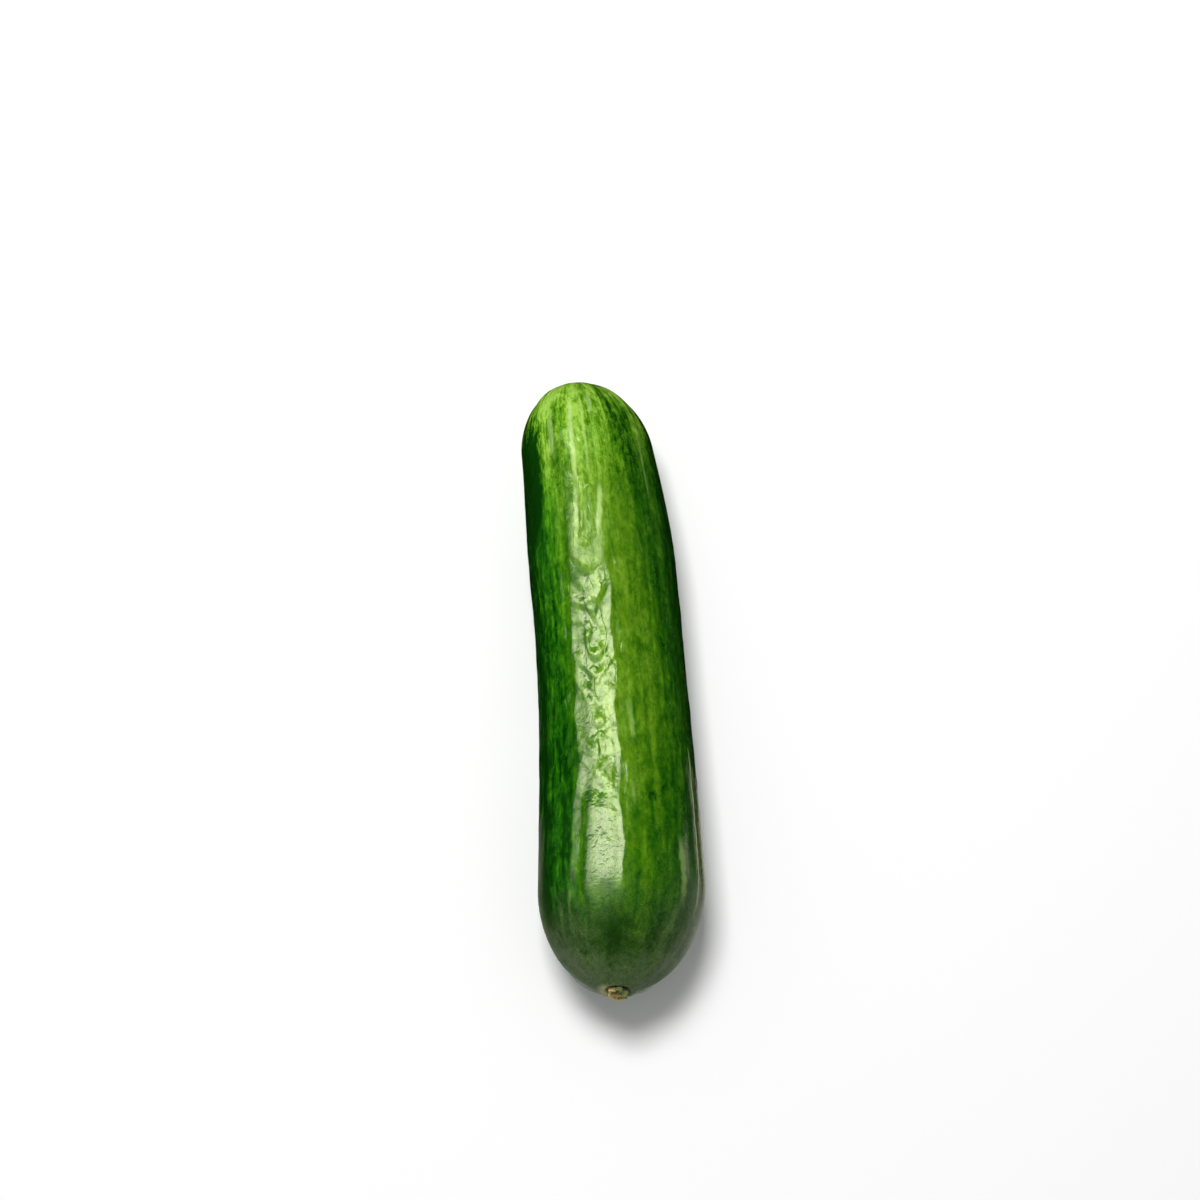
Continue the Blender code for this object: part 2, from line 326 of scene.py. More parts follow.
# frost, and on the flanks a painted reflection of the floor
FROST_AND_REFLECTION_COLOUR = (0.062, 0.103, 0.034)
DARK_COLOUR = (0.004, 0.028, 0.0008)
GRIT_TINTS = ((0.32, (0.62, 0.62, 0.62)), (0.68, (1.38, 1.38, 1.38)))
COLLAR_COLOUR = (0.50, 0.47, 0.25)
SOCKET_COLOUR = (0.040, 0.050, 0.016)
CORK_COLOURS = ((0.35, (0.16, 0.10, 0.04)), (0.5, (0.42, 0.29, 0.15)), (0.7, (0.62, 0.50, 0.32)))
STALK_COLOURS = (
    (0.15, (0.020, 0.018, 0.006)),
    (0.38, (0.15, 0.11, 0.03)),
    (0.55, (0.42, 0.33, 0.09)),
    (0.80, (0.74, 0.64, 0.30)),
)
GREEN_STALK_COLOURS = ((0.35, (0.02, 0.045, 0.008)), (0.65, (0.10, 0.15, 0.04)))
FLOOR_COLOUR = (0.8, 0.8, 0.8, 1.0)

# Where the pale colours, the purer green, the streaks and the specks show, and how strongly. The specks are
# painted glints.
PALE_REACH = (108.0, 148.0)
PALE_SHARE = (0.72, -0.5)  # and what it gains to the right
# less pale in the same painted shadow down the left edge of the blossom end
LESS_PALE = {"side": (-0.69, -0.80), "distance": (139.0, 127.0)}
LESS_PALE_CUT = 0.6
BELLY = (-0.35, -1.0)
BELLY_PALE = 0.35
MOST_PALE = 0.95
PURE_AREA = {"side": (-0.35, -0.75), "up": (-0.3, 0.1), "distance": (134.0, 112.0)}
STREAK_SHARE = 0.66
SPECKS = (0.66, 0.74)
SPECK_ROWS = (0.50, 0.62)
SPECK_SHARE = 0.45

# The waxy bloom over the stem dome
BLOOM_AREA = {"distance": (28.0, 3.0), "ragged": 16.0}
BLOOM_SHARE = 0.85
# Frost on it, on the flanks also a painted reflection of the floor: (amount, added amount in the clouds,
# area)
FROST_AND_REFLECTION_AREAS = (
    (1.0, 0.0, {"distance": (8.0, 0.0), "ragged": 7.0}),
    (0.35, 0.9, {"side": (-0.15, -0.85), "distance": (22.0, 5.0), "ragged": 14.0}),
    (0.4, 0.6, {"side": (0.50, 0.95), "distance": (22.0, 6.0), "ragged": 14.0}),
    (0.14, 0.21, {"side": (0.25, 0.85), "distance": (44.0, 16.0), "ragged": 14.0}),
)
FROST_AND_REFLECTION_SHARE = 0.85
CLOUDS = (0.36, 0.60)
RAY_GAIN = (0.45, 0.62, 0.80, 1.0)  # two values of the rays' noise, and the gain of frost and painted reflection at each
LEFT_RAYS = (0.62, 0.68)
LEFT_RAY_SIDE = (0.0, -0.6)
LEFT_RAY_FROST = 0.30
DAPPLE_MEAN = 0.45
DAPPLE_FROST = 2.5
DARK_PATCH = ((2.0, 8.5, 17.0), (-0.52, -0.10, 0.40))  # along and across
DARK_PATCH_RAGGED = 6.0
DARK_PATCH_SHARE = 0.85
GRIT_REACH = (30.0, 14.0)

# The corky collar, the socket's floor and the scar, as spans of the radius
CORK_SHARE = 0.85
COLLAR_SPAN = (2.4, 3.0, 4.2)
COLLAR_LEAN = 1.3  # the collar is so much wider at the left
COLLAR_CORK = (0.42, 0.60)
COLLAR_CORK_LEAN = 0.16
COLLAR_MIDDLE = (-0.1, 0.5)  # it is corkiest at this height on the left, and so much less away from it
COLLAR_LEFT = (0.1, 0.6, 0.3, 1.0)  # two places to the left, and its share at each
SOCKET_FLOOR = (2.9, 2.3)
SOCKET_RAGGED = 1.2
SCAR_CORK = (2.9, 2.0)
SCAR_RAGGED = 1.6

# The finest relief. A height with four numbers is two distances, and the height in mm at each.
SMOOTH_TIPS = (4.0, 18.0, 136.0, 152.0)
CALM_SIDES = (-0.62, -0.26, 0.16)
CALM_HEIGHT = 0.3
CRINKLE_HEIGHT = (30.0, 52.0, 0.100, 0.150)
LEATHER_HEIGHT = (30.0, 52.0, 0.075, 0.02625)
BLOSSOM_CALM = (100.0, 118.0, 1.0, 0.4)
CREASE_WIDTH = 0.035
CREASED = (0.42, 0.62)
CREASE_DEPTH = (46.0, 66.0, 0.0, 0.06)
THREAD_HEIGHT = (100.0, 118.0, 0.0, 0.15)
PORE_HEIGHT = 0.006
CORK_HEIGHT = 0.2

# The skin's gloss
SKIN_IOR = 1.45
ROUGHNESS = (0.135, 0.10)  # and what its noise adds
BLOOM_ROUGHNESS = 0.03
CORK_ROUGHNESS = 0.5
MOST_ROUGH = 0.9
DULL_SPECULAR = 0.16
DULL_ROUGHNESS = 0.15  # added where the skin is dull
# Where it is dull: (share, area)
DULL_AREAS = (
    (0.65, {"distance": (94.0, 108.0, 128.0)}),
    (0.25, {"distance": (112.0, 126.0)}),
    (0.9, {"distance": (31.0, 15.0), "ragged": 12.0}),
    (0.6, {"side": (-0.44, -0.56), "distance": (50.0, 36.0)}),
)

# The stalk's tone, from what its strands, blotches and torn tips give, and the painted shade that its hollow
# and pores take
STRAND_TONE = 0.8
BLOTCH_TONE = 0.5
STALK_TONE = -0.2
TORN_TIPS = (0.75, 1.0)
TORN_INSIDE = (0.5, 0.0)
TORN_TONE = 0.18
HOLLOW_SHADE = (0.15, 0.6, 0.0, -0.10)  # painted shade, darker down into the hollow: two places, and the tone at each, as in the next one
PORE_SHADE = (0.08, 0.4, -0.3, 0.0)
GREEN_TURN = 0.7
GREEN_RAGGED = 1.2
GREEN_EDGE = (0.15, 0.55)
GREEN_SHARE = 0.85
STRAND_HEIGHT = 0.25
STALK_ROUGHNESS = 0.8

# Each area light: name, place, the way it faces, size, radiance, what it serves. The strip and the rims lie
# on the floor beside the stem end, and only the gloss on the flanks shows them. The three end cards, one in
# the other, carry the gloss on over the dome, where it fades in steps.
LIGHTS = (
    ("key_softbox", (-0.126, 0.233, 0.99), (0.13, -0.24, -1.0), (0.32, 0.32), 31.0, "diffuse"),
    ("right_strip", (0.0415, -0.050, 0.002), (0.0, 0.0, 1.0), (0.0038, 0.072), 1.8, "gloss"),
    ("right_rim", (0.0285, -0.058, 0.002), (0.0, 0.0, 1.0), (0.006, 0.072), 0.85, "gloss"),
    ("left_rim", (-0.0285, -0.062, 0.002), (0.0, 0.0, 1.0), (0.006, 0.070), 0.55, "gloss"),
    ("end_card_rim", (-0.076, -0.046, 0.15), (0.0, 0.0, -1.0), (0.185, 0.108), 2.4, "gloss"),
    ("end_card_middle", (-0.077, -0.049, 0.15), (0.0, 0.0, -1.0), (0.170, 0.084), 3.0, "gloss"),
    ("end_card_core", (-0.078, -0.051, 0.15), (0.0, 0.0, -1.0), (0.155, 0.060), 3.4, "gloss"),
    ("side_card", (0.080, -0.036, 0.018), (-1.0, 0.0, 0.0), (0.012, 0.022), 1.9, "gloss"),
)
# The gloss mirrors one large softbox. Its sides are tangents of the angle from straight up, its back tapers
# to a point round SOFTBOX_MIDDLE, and its light swells to a core.
SOFTBOX_SIDES = (-2.05, -1.85, 0.01, 0.12)
SOFTBOX_FRONT = (-0.20, 0.10)
SOFTBOX_BACK = (0.485, 0.40)
SOFTBOX_FOOT = (0.1, 0.2)  # and it stands above this rise of the mirrored ray
SOFTBOX_MIDDLE = -0.50
SOFTBOX_TAPER = 0.03
SOFTBOX_CORE = (0.19, 0.37, 0.52)
SOFTBOX_LEVELS = (2.0, 14.8)
SOFTBOX_WARMTH = (-1.5, -0.2, 0.48, 1.35)  # the level swells from left to right: span, then shares
SOFTBOX_TINT = (1.0, 1.0, 0.70)
LOWEST_RISE = 0.05
ROOM_DIFFUSE = 0.42
# The gloss also mirrors the floor: in front of the fruit, below it, and brighter along its lower rim
FLOOR_GLOSS = 0.5
FLOOR_FRONT = (0.05, -0.15)
FLOOR_SKEW = 0.2
FLOOR_RISE = (0.10, -0.20)
RIM_GLOSS = 0.6
RIM_RISE = (-0.93, -0.96)
FLOOR_HALF = 1.6

# The camera, and the fruit's place in the photo's frame of 1200 x 1200
FRAME_PX = 1200
PLACE_PX = (598.1, 678.4)
SCALE_PX_PER_M = 4103.0
CAMERA_DISTANCE = 0.60
CAMERA_ELEVATION = math.radians(75.0)
CAMERA_LEAN = 0.076
MIDDLE_HEIGHT = 0.019
SENSOR_MM = 36.0


class Signal:
    """The value of one socket. Python's operators on it add the nodes that work the result out."""

    def __init__(self, graph, socket):
        self.graph = graph
        self.socket = socket

    def math(self, operation, *others):
        return self.graph.math(operation, self, *others)

    def __add__(self, other):
        return self.math("ADD", other)

    def __radd__(self, other):
        return self.math("ADD", other)

    def __sub__(self, other):
        return self.math("SUBTRACT", other)

    def __rsub__(self, other):
        return self.graph.math("SUBTRACT", other, self)

    def __mul__(self, other):
        return self.math("MULTIPLY", other)

    def __rmul__(self, other):
        return self.math("MULTIPLY", other)

    def __truediv__(self, other):
        return self.math("DIVIDE", other)

    def __pow__(self, other):
        return self.math("POWER", other)

    def __neg__(self):
        return self.math("MULTIPLY", -1.0)

    def __abs__(self):
        return self.math("ABSOLUTE")

    def sin(self):
        return self.math("SINE")

    def cos(self):
        return self.math("COSINE")

    def at_most(self, other):
        return self.math("MINIMUM", other)

    def at_least(self, other):
        return self.math("MAXIMUM", other)

    def below(self, other):
        return self.math("LESS_THAN", other)

    def over(self, low, high, to_low=0.0, to_high=1.0, smooth=True):
        """Carries the span from low to high over to the other span, and holds still outside it."""
        style = "SMOOTHSTEP" if smooth else "LINEAR"
        values = {0: self, 1: low, 2: high, 3: to_low, 4: to_high}
        return self.graph.node("ShaderNodeMapRange", {"interpolation_type": style}, values)

    def inside(self, *span):
        """1 inside the span of two, three or four numbers, and 0 outside it."""
        rise = self.over(span[0], span[1])
        return rise if len(span) == 2 else rise * (1.0 - self.over(span[-2], span[-1]))

    def other(self, name):
        """Another output of the same node."""
        return Signal(self.graph, self.socket.node.outputs[name])

    def parts(self):
        """The three numbers of a vector."""
        split = self.graph.node("ShaderNodeSeparateXYZ", {}, {0: self})
        return split, split.other("Y"), split.other("Z")


class Graph:
    """A node tree under construction."""

    def __init__(self, tree):
        self.tree = tree

    def feed(self, made, values):
        """Links or sets a node's sockets, each known by its name or number."""
        for key, value in values.items():
            if isinstance(value, Signal):
                self.tree.links.new(value.socket, made.inputs[key])
            else:
                made.inputs[key].default_value = value

    def node(self, kind, settings=None, values=None, output=0):
        """Adds a node: first its settings, then the values or links of its sockets. Returns one output."""
        made = self.tree.nodes.new(kind)
        for name, setting in (settings or {}).items():
            setattr(made, name, setting)
        self.feed(made, values or {})
        return Signal(self, made.outputs[output])

    def math(self, operation, *operands):
        return self.node("ShaderNodeMath", {"operation": operation}, dict(enumerate(operands)))

    def vector(self, x, y, z):
        return self.node("ShaderNodeCombineXYZ", {}, {0: x, 1: y, 2: z})

    def vector_math(self, operation, *operands, output="Vector"):
        return self.node("ShaderNodeVectorMath", {"operation": operation}, dict(enumerate(operands)), output)

    def scaled(self, vector, x, y, z):
        """The vector times three numbers. In a shader, a Mapping node holds the fewest values at once."""
        if self.tree.type == "SHADER":
            return self.node("ShaderNodeMapping", {}, {"Vector": vector, "Scale": (x, y, z)})
        return self.vector_math("MULTIPLY", vector, (x, y, z))

    def apart(self, first, second):
        """The distance between two points."""
        return self.vector_math("DISTANCE", first, second, output="Value")

    def noise(self, vector, across, along, detail=2.0, roughness=0.5, distortion=0.0):
        """Noise from 0 to 1, with so many grains per mm across the veins and along them."""
        values = {"Vector": self.scaled(vector, across, along, across), "Scale": 1.0}
        values.update({"Detail": detail, "Roughness": roughness, "Distortion": distortion})
        return self.node("ShaderNodeTexNoise", {}, values)

    def grain(self, name, vector):
        return self.noise(vector, *GRAINS[name])

    def cells(self, vector, feature="F1", **more):
        """Voronoi cells one unit across."""
        values = {"Vector": vector, "Scale": 1.0, **more}
        return self.node("ShaderNodeTexVoronoi", {"feature": feature}, values)

    def blend(self, share, first, second, style="MIX"):
        """The first colour, and the second one, a signal or three numbers, where share is 1."""
        if isinstance(second, tuple):
            second = (*second, 1.0)
        settings = {"data_type": "RGBA", "blend_type": style}
        return self.node("ShaderNodeMix", settings, {0: share, 6: first, 7: second}, output=2)

    def colour(self, share, stops):
        """A ramp of colours, each as (place, colour)."""
        ramp = self.node("ShaderNodeValToRGB", {}, {0: share})
        elements = ramp.socket.node.color_ramp.elements
        while len(elements) < len(stops):
            elements.new(0.5)
        for element, (place, colour) in zip(elements, stops):
            element.position = place
            element.color = (*colour, 1.0)
        return ramp

    def bumped(self, height):
        """The normal over a height in mm."""
        return self.node("ShaderNodeBump", {}, {"Strength": 1.0, "Distance": MM, "Height": height})

    def attribute(self, name):
        return self.node("ShaderNodeAttribute", {"attribute_name": name}, output="Vector")


def geometry_tree(name, sizes):
    """A Geometry Nodes tree with one named input for each size. Returns (graph, {name: input})."""
    tree = bpy.data.node_groups.new(name, "GeometryNodeTree")
    for label, value in sizes.items():
        kind = "NodeSocketInt" if isinstance(value, int) else "NodeSocketFloat"
        tree.interface.new_socket(label, in_out="INPUT", socket_type=kind)
    tree.interface.new_socket("Geometry", in_out="OUTPUT", socket_type="NodeSocketGeometry")
    graph = Graph(tree)
    entry = tree.nodes.new("NodeGroupInput")
    return graph, {label: Signal(graph, entry.outputs[label]) for label in sizes}


def wrapped_grid(graph, given):
    """A grid to be wrapped into a closed shape. Returns it, and a point's angle and its share of the rows."""
    grid_sizes = {"Size X": 1.0, "Size Y": 1.0}
    grid_sizes["Vertices X"] = given["Points around"] + 1
    grid_sizes["Vertices Y"] = given["Rows"]
    grid = graph.node("GeometryNodeMeshGrid", {}, grid_sizes)
    across, row, _ = graph.node("GeometryNodeInputPosition").parts()
    return grid, (across + 0.5) * TURN, row + 0.5


def wrap(graph, grid, point, facts):
    """Moves the grid's points to their places, closes the seam, and keeps the facts as attributes."""
    shape = grid
    for label, value in facts:
        stored = {"Geometry": shape, "Name": label, "Value": value}
        settings = {"data_type": "FLOAT_VECTOR", "domain": "POINT"}
        shape = graph.node("GeometryNodeStoreNamedAttribute", settings, stored)
    shape = graph.node("GeometryNodeSetPosition", {}, {"Geometry": shape, "Position": point})
    shape = graph.node("GeometryNodeMergeByDistance", {}, {"Geometry": shape, "Distance": SEAM_GAP})
    return graph.node("GeometryNodeFlipFaces", {}, {"Mesh": shape})


def grow(name, graph, sizes, shape, material, place):
    """Runs a finished tree on its sizes, and returns what it makes as a plain mesh object in its place."""
    shape = graph.node("GeometryNodeRealizeInstances", {}, {"Geometry": shape})
    shape = graph.node("GeometryNodeSetMaterial", {}, {"Geometry": shape, "Material": material})
    exit_node = graph.tree.nodes.new("NodeGroupOutput")
    graph.tree.links.new(shape.socket, exit_node.inputs["Geometry"])
    carrier = bpy.data.objects.new(name + "_seed", bpy.data.meshes.new(name + "_seed"))
    bpy.context.collection.objects.link(carrier)
    modifier = carrier.modifiers.new("grow", "NODES")
    modifier.node_group = graph.tree
    for item in graph.tree.interface.items_tree:
        if item.in_out == "INPUT":
            modifier[item.identifier] = sizes[item.name]
    evaluated = carrier.evaluated_get(bpy.context.evaluated_depsgraph_get())
    mesh = bpy.data.meshes.new_from_object(evaluated)
    bpy.data.objects.remove(carrier)
    return put(name, mesh, place)


def put(name, mesh, place=None):
    """An object at the origin whose mesh holds its place."""
    if place:
        mesh.transform(place)
    mesh.name = name
    obj = bpy.data.objects.new(name, mesh)
    bpy.context.collection.objects.link(obj)
    return obj


def sine_sum(waves, angle, distance):
    total = 0.0
    for height, count, turns, phase in waves:
        total = total + height * (TURN * count / SKIN_LENGTH * distance + turns * angle + phase).sin()
    return total


def body_radius(distance):
    first = distance.over(*FIRST_TAPER) * (MIDDLE_RADIUS - STEM_RADIUS)
    second = distance.over(*SECOND_TAPER) * (BLOSSOM_RADIUS - MIDDLE_RADIUS)
    return first + second + STEM_RADIUS


def ring_point(graph, distance, radius, angle, inward):
    """A point of the ring at this distance, moved inward along the fruit. The stem tip curls up and to -X."""
    half_share = distance * (2.0 / SKIN_LENGTH) - 1.0
    nose = (1.0 - distance / STEM_DOME).at_least(0.0)
    curl = nose * nose * (STEM_DOME / 2.0)
    x = BEND * (1.0 - half_share * half_share) * (1.0 + BEND_SKEW * half_share) - NOSE_SWAY * curl
    z = body_radius(distance) - FLAT_DEPTH + BELLY_RISE * half_share * half_share + NOSE_LIFT * curl
    offset = graph.vector(radius * angle.cos(), inward, radius * angle.sin())
    turn = graph.vector(nose * -NOSE_LIFT, 0.0, nose * -NOSE_SWAY)
    offset = graph.node(
        "ShaderNodeVectorRotate", {"rotation_type": "EULER_XYZ"}, {"Vector": offset, "Rotation": turn}
    )
    x, y, z = graph.vector_math("ADD", graph.vector(x, distance, z), offset).parts()
    return graph.vector(x, y, z.at_least(0.0))


def fruit_relief(angle, distance, domes, pressed):
    """The relief that the solid has too: lobes, ribs and two crossing sets of wrinkles."""
    lobes = LOBE_HEIGHT * domes * (LOBES * angle + LOBE_PHASE).cos()
    wander = sine_sum(WANDERS, angle, distance)
    furrows = distance.at_most(SKIN_LENGTH - distance).inside(*FURROW_REACH)
    ribs = (RIB_HEIGHT * domes + FURROW_HEIGHT * furrows) * (RIBS * (angle + RIB_WANDER * wander)).cos()
    wrinkled = distance.inside(*WRINKLE_REACH)
    swell = sine_sum(SWELLS, angle, distance) + SWELL_MEAN
    wrinkles = 0.0
    for count, height, drift, phase in WRINKLE_SETS:
        path = angle + wander + drift * TURN / SKIN_LENGTH * distance
        wrinkles = wrinkles + height * wrinkled * swell * (count * path + phase).cos()
        swell = 2.0 * SWELL_MEAN - swell
    return (lobes + RIB_SHARE * ribs + distance.over(*WRINKLE_SHARE) * wrinkles) * (1.0 - pressed)


def fold_relief(graph, veins, angle, distance):
    """Soft folds, longer than they are wide, and drapes that hang in a V from the line of each rib."""
    drift = {"Vector": veins, "Scale": 1.0 / FOLD_DRIFT, "Detail": 2.0}
    drift = graph.node("ShaderNodeTexNoise", {}, drift, "Color")
    drift = graph.vector_math("SUBTRACT", drift, (0.5, 0.5, 0.5))
    warped = graph.vector_math("ADD", veins, graph.scaled(drift, FOLD_DRIFT, FOLD_DRIFT, FOLD_DRIFT))
    pillows = graph.cells(graph.scaled(warped, *PILLOW_GRAIN), "SMOOTH_F1", Smoothness=PILLOW_SOFTNESS)
    folds = (PILLOW_MEAN - pillows) * PILLOW_WEIGHT
    folds = folds + (graph.grain("broad folds", warped) - 0.5) * BROAD_WEIGHT
    folds = folds + (graph.grain("melted folds", veins) - 0.5) * MELTED_WEIGHT

    turns = (angle - math.radians(DRAPE_TURN)) * (RIBS / TURN)
    away = turns.math("PINGPONG", 0.5) * (TURN * MIDDLE_RADIUS / RIBS)
    away = (away * away + DRAPE_ROUNDING) ** 0.5
    shift = (graph.grain("drape shift", veins) - 0.5) * DRAPE_SHIFT
    beat = ((distance - DRAPE_SLANT * away) / DRAPE_STEP + shift) * TURN
    drapes = (beat + DRAPE_LEAN * beat.sin()).sin() * (1.0 - away * DRAPE_FADE)
    return folds + drapes * distance.over(*DRAPE_HEIGHT)


def groove_relief(angle, distance):
    depths = 0.0
    for start, bend, end, first, last, half_width, depth in GROOVES:
        middle = distance.over(bend, end, math.radians(first), math.radians(last))
        for length, height, phase in GROOVE_WAVER:
            middle = middle + height * (TURN / length * distance + phase).sin()
        away = abs(angle - middle) * MIDDLE_RADIUS
        reach = distance.inside(start, start + GROOVE_REACH, end - GROOVE_REACH, end)
        depths = depths - depth * reach * away.inside(half_width, 0.0)
    return depths


def spine_marks(graph, veins):
    """Old spine marks, each a low dome in a raised ring. Returns their relief in mm and their tone."""
    relief = tone = 0.0
    least, gain = MARK_UNEVEN
    uneven = graph.grain("mark edges", veins) * gain + least
    for distance, degrees, radius, rise, shade in MARKS:
        angle = math.radians(degrees)
        middle = (MIDDLE_RADIUS * math.cos(angle), distance, MIDDLE_RADIUS * math.sin(angle))
        away = graph.apart(veins, middle) * uneven / radius
        ring = away.inside(*MARK_RING)
        relief = relief + away.inside(*MARK_DOME) * rise + ring * (MARK_RING_SHARE * rise)
        tone = tone + ring * shade + away.inside(*MARK_EYE) * MARK_EYE_TONE
    scatter = graph.cells(graph.scaled(veins, *[1.0 / FAINT_SPACING] * 3))
    size, share, _ = scatter.other("Color").parts()
    least, more = FAINT_RADIUS
    away = scatter * FAINT_SPACING / (least + more * size)
    there = share.inside(*FAINT_COUNT)
    ring = away.inside(*MARK_RING) * there
    tone = tone + ring * FAINT_TONE + away.inside(*FAINT_EYE) * there * FAINT_EYE_TONE
    return relief + ring * FAINT_RISE, tone


def pale_streaks(graph, veins):
    """Pale streaks with ragged edges, from 0 to 1."""
    x, distance, z = veins.parts()
    angle = z.math("ARCTAN2", x)
    ragged = (graph.grain("streak edges", veins) - 0.5) * STREAK_RAGGED
    total = 0.0
    for start, end, first, last, half_width, strength in PALE_STREAKS:
        middle = distance.over(start, end, math.radians(first), math.radians(last))
        away = abs(angle - middle) * (MIDDLE_RADIUS / half_width) + ragged
        reach = distance.inside(start, start + STREAK_REACH, end - STREAK_REACH, end)
        total = total + away.inside(*STREAK_EDGE) * reach * strength
    return total.at_most(1.0)


def tip_relief(graph, angle, distance, rho, stem_side):
    """The socket for the stub, its corky collar, and the scar at the other tip, all along the fruit."""
    grain = graph.grain("tip cork", graph.vector(angle.cos() * rho, angle.sin() * rho, distance))
    socket = SOCKET_DEPTH * rho.inside(*SOCKET_WALL)
    least, gain = COLLAR_CRUMBS
    collar = COLLAR_HEIGHT * rho.inside(*COLLAR_RING) * (grain * gain + least)
    pit = SCAR_PIT * rho.inside(*SCAR_PIT_WALL)
    least, gain = SCAR_CRUMBS
    ring = SCAR_RISE * rho.inside(*SCAR_RING) * (grain * gain + least)
    return stem_side * (socket - collar) + (1.0 - stem_side) * (ring - pit)


def skin_tree(sizes):
    """The fruit's skin: a grid wrapped round the bent axis, with its relief and the socket and the scar."""
    graph, given = geometry_tree("fruit_skin", sizes)
    grid, angle, row = wrapped_grid(graph, given)
    angle = angle + TOP_CROWDING * angle.cos()
    # Rows crowd towards both tips. Each dome follows the sine and cosine of its own quarter turn.
    stem_turn = row.over(0.0, STEM_ROWS, smooth=False) ** TIP_CROWDING * (TURN / 4.0)
    blossom_turn = row.over(1.0, 1.0 - BLOSSOM_ROWS, smooth=False) ** TIP_CROWDING * (TURN / 4.0)
    middle = row.over(STEM_ROWS, 1.0 - BLOSSOM_ROWS, STEM_DOME, SKIN_LENGTH - BLOSSOM_DOME, smooth=False)
    stem_part = stem_turn.cos().at_least(0.0) ** (2.0 / DOME_POWER) * STEM_DOME
    blossom_part = blossom_turn.cos().at_least(0.0) ** (2.0 / DOME_POWER) * BLOSSOM_DOME
    distance = middle - stem_part + blossom_part
    domes = stem_turn.sin() * blossom_turn.sin()
    rho = body_radius(distance) * domes

    half_share = distance * (2.0 / SKIN_LENGTH) - 1.0
    pressed = (-angle.sin()).over(*PRESS) * (1.0 - abs(half_share).over(*PRESS_REACH))
    relief = fruit_relief(angle, distance, domes, pressed)
    veins = graph.vector(angle.cos() * MIDDLE_RADIUS, distance, angle.sin() * MIDDLE_RADIUS)

    folded = distance.inside(*FOLD_REACH) * (1.0 - pressed)
    folded = folded * (1.0 - LOW_FOLD_CUT * distance.inside(*LOW_FOLDS))
    calm = angle.cos().inside(*TOP_FOLDS) * (1.0 - CALM_SHARE) + CALM_SHARE
    folds = fold_relief(graph, veins, angle, distance) * calm * given["Fold height"]
    mark_relief, mark_tone = spine_marks(graph, veins)
    streaks = pale_streaks(graph, veins)
    fine = folded * folds + mark_relief + streaks * STREAK_HEIGHT
    cut = groove_relief(angle, distance)
    radius = rho + relief + (fine + cut) * domes
    inward = tip_relief(graph, angle, distance, rho, distance.below(SKIN_LENGTH / 2.0))

    point = ring_point(graph, distance, radius, angle, inward)
    # The form keeps the fine relief for the tone's painted shade, with the grooves counted the other way
    # round
    form = graph.vector(rho, fine - GROOVE_TONE * cut, 0.0)
    facts = (("veins", veins), ("form", form), ("marks", graph.vector(streaks, mark_tone, 0.0)))
    return graph, wrap(graph, grid, point, facts)


def stub_tree(sizes):
    """The stub: up its ridged wall from the seat, over the torn rim and down into the hollow."""
    graph, given = geometry_tree("torn_stub", sizes)
    grid, angle, row = wrapped_grid(graph, given)
    foot = row.over(0.0, STUB_FOOT_ROW, smooth=False)
    wall = row.over(STUB_FOOT_ROW, STUB_RIM_ROW, smooth=False)
    inner = row.over(STUB_RIM_ROW, 1.0, smooth=False)
    share = foot * wall.over(*STUB_FOOT) * (1.0 - inner)
    ridged = STUB_RADIUS * (1.0 + STUB_RIDGE_SHARE * (STUB_RIDGES * angle).cos())
    round_place = graph.vector(angle.cos(), wall - inner, angle.sin())
    fibres = graph.grain("stub fibres", round_place)
    lumps = graph.grain("stub lumps", round_place) - 0.5
    torn = STUB_PROUD - TEAR * (TEAR_MEAN + sine_sum(TEAR_WAVES, angle, 0.0))
    torn = torn + (fibres - FIBRE_MEAN) * FIBRE_HEIGHT * inner.inside(*FIBRE_REACH)
    across = graph.vector(angle.cos() * share, angle.sin() * share, row)
    pores = graph.cells(graph.scaled(across, *PORE_GRAIN))
    hollow = inner.inside(*STUB_PIT_WALL) * (STUB_PIT + STUB_PIT_LUMPS * lumps)
    hollow = hollow + inner * pores.inside(*PORE_WALL) * PORE_DEPTH
    out = wall * (torn + STUB_SEAT) - STUB_SEAT - hollow
    radius = ridged * share * (1.0 - STUB_WAIST_SHARE * wall.inside(*STUB_WAIST))
    radius = radius * (1.0 + STUB_FIBRE_SHARE * (fibres - 0.5) + STUB_LUMP_SHARE * lumps)
    tip = angle * 0.0  # the distance at the stem tip
    point = ring_point(graph, tip, radius, angle, -out)
    facts = (("fibres", round_place), ("form", graph.vector(wall, inner, pores)), ("round", across))
    return graph, wrap(graph, grid, point, facts)


def make_material(name):
    """A material's graph, and its Principled shader node."""
    material = bpy.data.materials.new(name)
    material.use_nodes = True
    graph = Graph(material.node_tree)
    return material, graph, material.node_tree.nodes["Principled BSDF"]


def mix_in(graph, share, first, second):
    """Shows the first shader, and the second one where share is 1."""
    shaders = {0: share, 1: Signal(graph, first.outputs[0]), 2: second}
    mixed = graph.node("ShaderNodeMixShader", {}, shaders)
    exit_node = next(node for node in graph.tree.nodes if node.type == "OUTPUT_MATERIAL")
    graph.tree.links.new(mixed.socket, exit_node.inputs["Surface"])


# A place on the skin, and the noise that makes edges ragged there
Place = namedtuple("Place", "side up distance patch")


def area(place, side=None, up=None, distance=None, ragged=0.0):
    """1 where the place is inside every span that is given, and 0 where it is outside one."""
    along = place.distance + place.patch * ragged if ragged else place.distance
    spans = ((place.side, side), (place.up, up), (along, distance))
    return functools.reduce(operator.mul, [value.inside(*span) for value, span in spans if span])


